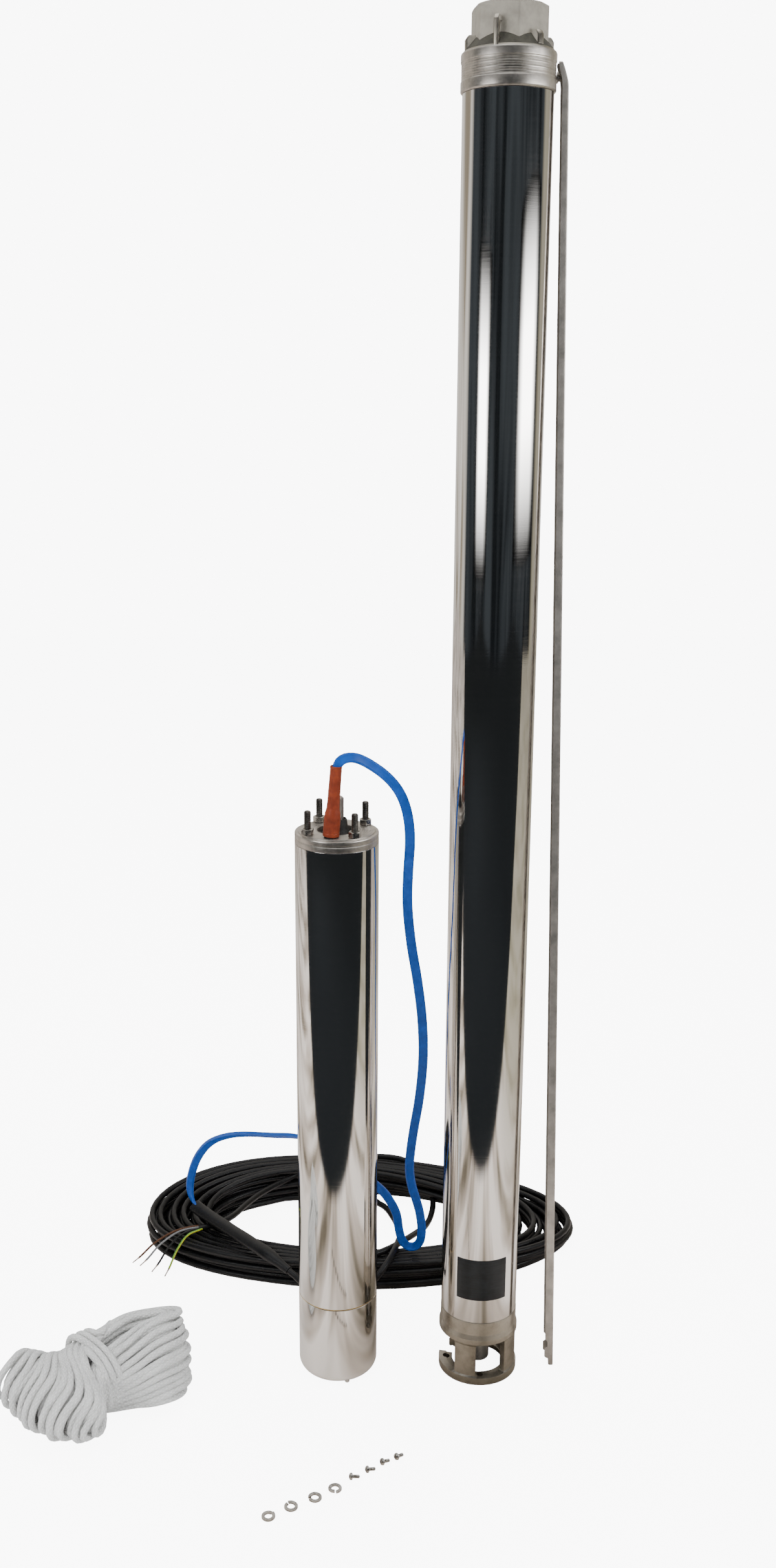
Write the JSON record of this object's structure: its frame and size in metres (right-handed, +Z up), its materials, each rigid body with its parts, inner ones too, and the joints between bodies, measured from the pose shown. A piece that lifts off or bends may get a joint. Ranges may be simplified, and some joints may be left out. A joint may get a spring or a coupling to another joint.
{
  "type": "borehole pump kit",
  "caption": "Borehole submersible pump end and motor side by side before assembly, with cable guard, lead, coiled cable, rope hank and loose fixings.",
  "frame": {"origin": "on the floor, under the middle of the rigid pieces' bounding box", "axes": "+Z up along the pump and the motor, -Y towards the front of the picture, +X to its right"},
  "size_m": [0.7233, 0.7229, 1.524],
  "materials": {
    "mirror_stainless": "polished stainless tube, clear reflections",
    "cast_stainless": "satin investment-cast stainless, fine grain",
    "plain_stainless": "bare stainless bar and sheet, semi-bright",
    "laminated_iron": "dull laminated iron",
    "winding_copper": "varnished copper winding",
    "valve_brass": "machined brass",
    "bearing_carbon": "dark carbon, matt",
    "stage_plastic": "moulded plastic, matt",
    "seal_rubber": "black rubber, matt",
    "plate_black": "black label film, semi-matt, blank",
    "boot_orange": "red-orange heat-shrink, semi-matt",
    "lead_blue": "blue jacket, semi-matt",
    "cable_black": "black jacket, semi-gloss",
    "rope_white": "white-grey laid cord",
    "wire_yellow_green": "yellow-green wire insulation",
    "wire_grey": "grey wire insulation",
    "wire_black": "black wire insulation",
    "wire_brown": "brown wire insulation"
  },
  "bodies": {
    "kit": {"discharge_head": "cast_stainless", "valve_seat": "valve_brass", "valve_spring": "plain_stainless", "top_bearing_carrier": "cast_stainless", "top_bearing_bush": "seal_rubber", "pump_sleeve": "mirror_stainless", "diffuser_stack": "stage_plastic", "suction_bracket": "cast_stainless", "nameplate": "plate_black", "motor_shell": "mirror_stainless", "motor_top_flange": "cast_stainless", "motor_base_bell": "laminated_iron", "diaphragm_cover": "mirror_stainless", "diaphragm": "seal_rubber", "vent_plug": "plain_stainless", "upper_bearing": "bearing_carbon", "lower_bearing": "bearing_carbon", "stator_core": "laminated_iron", "upper_windings": "winding_copper", "lower_windings": "winding_copper", "thrust_bearing": "bearing_carbon", "lip_seal": "seal_rubber", "lead_gland": "seal_rubber", "lead_boot": "boot_orange", "motor_stud_1": "plain_stainless", "motor_stud_2": "plain_stainless", "motor_stud_3": "plain_stainless", "motor_stud_4": "plain_stainless", "motor_nut_1": "plain_stainless", "motor_nut_2": "plain_stainless", "motor_nut_3": "plain_stainless", "motor_nut_4": "plain_stainless", "cable_guard": "plain_stainless", "guard_head_screw": "plain_stainless", "lock_washer_1": "plain_stainless", "lock_washer_2": "plain_stainless", "lock_washer_3": "plain_stainless", "lock_washer_4": "plain_stainless", "guard_screw_1": "plain_stainless", "guard_screw_2": "plain_stainless", "guard_screw_3": "plain_stainless", "guard_screw_4": "plain_stainless", "blue_lead": "lead_blue", "splice_sleeve": "cable_black", "cable_tail": "cable_black", "cable_coil": "cable_black", "conductor_1": "wire_yellow_green", "conductor_2": "wire_grey", "conductor_3": "wire_black", "conductor_4": "wire_brown", "rope_hank": "rope_white"},
    "pump_rotor": {"pump_shaft": "plain_stainless", "impeller_stack": "stage_plastic", "shaft_coupling": "plain_stainless"},
    "motor_rotor": {"motor_shaft": "plain_stainless", "rotor_core": "laminated_iron", "thrust_disc": "plain_stainless", "sand_slinger": "seal_rubber"},
    "check_valve": {"valve_poppet": "cast_stainless"}
  },
  "joints": [
    {"name": "pump_shaft_spin", "type": "hinge", "parent": "kit", "child": "pump_rotor", "pos_m": [0.078, 0.115, 0.056], "axis": [0, 0, 1], "continuous": true},
    {"name": "motor_shaft_spin", "type": "hinge", "parent": "kit", "child": "motor_rotor", "pos_m": [-0.094, 0.115, 0.686], "axis": [0, 0, 1], "continuous": true},
    {"name": "check_valve_lift", "type": "slide", "parent": "kit", "child": "check_valve", "axis": [0, 0, 1], "range_m": [0, 0.01], "stiffness_N_per_m": 100, "springref_m": -0.02, "deforming": ["valve_spring"]}
  ]
}
